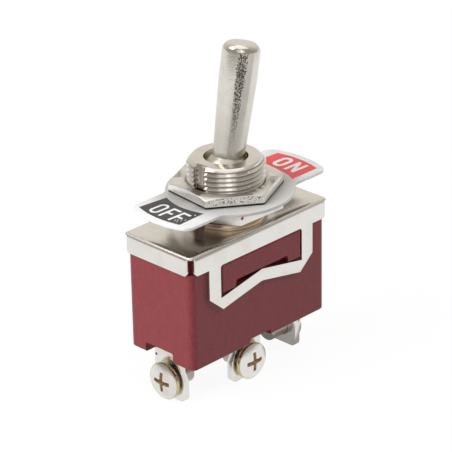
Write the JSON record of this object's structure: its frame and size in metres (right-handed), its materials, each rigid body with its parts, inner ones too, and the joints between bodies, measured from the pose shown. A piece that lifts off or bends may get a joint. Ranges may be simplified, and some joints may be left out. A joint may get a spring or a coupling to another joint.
{
  "type": "panel toggle switch",
  "caption": "Two-way panel toggle switch with a bat lever, threaded bushing, hexagon nuts, ON-OFF plate, moulded body in a strapped metal cover, and screw terminals.",
  "frame": {"origin": "on the bushing's axis, at the top face of the cover plate", "axes": "+Z along the bushing towards the lever's tip, +X along the housing towards the ON tab, -Y the side of the middle terminal's screw"},
  "size_m": [0.0318, 0.0196, 0.0532],
  "materials": {
    "phenolic": "dark maroon moulded phenolic, satin gloss",
    "cover_nickel": "nickel-plated folded steel, satin",
    "fibre": "brown vulcanised fibre sheet",
    "bushing_nickel": "nickel-plated turned brass, polished",
    "nut_nickel": "nickel-plated brass, polished, with a cast grain on its sides",
    "plate_enamel": "white enamelled sheet with a black and a red field",
    "steel": "bright steel",
    "lever_nickel": "nickel-plated turned brass, polished, with fine ring marks",
    "nylon": "natural moulded nylon",
    "contact_brass": "plain stamped brass",
    "silver": "silver contact rivets",
    "terminal_nickel": "nickel-plated stamped brass",
    "screw_nickel": "nickel-plated steel screws"
  },
  "bodies": {
    "switch_body": {"housing": "phenolic", "cover_frame": "cover_nickel", "insulator": "fibre", "bushing": "bushing_nickel", "lower_nut": "nut_nickel", "upper_nut": "nut_nickel", "on_off_plate": "plate_enamel", "pivot_pin": "steel", "terminal_left": "terminal_nickel", "terminal_middle": "terminal_nickel", "terminal_right": "terminal_nickel", "contact_left": "silver", "contact_right": "silver", "screw_left": "screw_nickel", "screw_middle": "screw_nickel", "screw_right": "screw_nickel"},
    "lever": {"lever": "lever_nickel", "plunger_spring": "steel"},
    "plunger": {"plunger": "nylon"},
    "rocker": {"rocker": "contact_brass", "rocker_contact_left": "silver", "rocker_contact_right": "silver"}
  },
  "joints": [
    {"name": "lever_tilt", "type": "hinge", "parent": "switch_body", "child": "lever", "pos_m": [0, 0, 0.0065], "axis": [0, 1, 0], "range_deg": [-22, 0]},
    {"name": "plunger_slide", "type": "slide", "parent": "lever", "child": "plunger", "axis": [0.1908, 0, 0.9816], "range_m": [-0.00025, 0.0004], "stiffness_N_per_m": 300, "springref_m": -0.004, "deforming": ["plunger_spring"]},
    {"name": "rocker_tilt", "type": "hinge", "parent": "switch_body", "child": "rocker", "pos_m": [0, 0, -0.01107], "axis": [0, 1, 0], "range_deg": [0, 12]}
  ],
  "couplings": [
    {"joint": "rocker_tilt", "follows": "lever_tilt", "ratio": -0.54545}
  ]
}
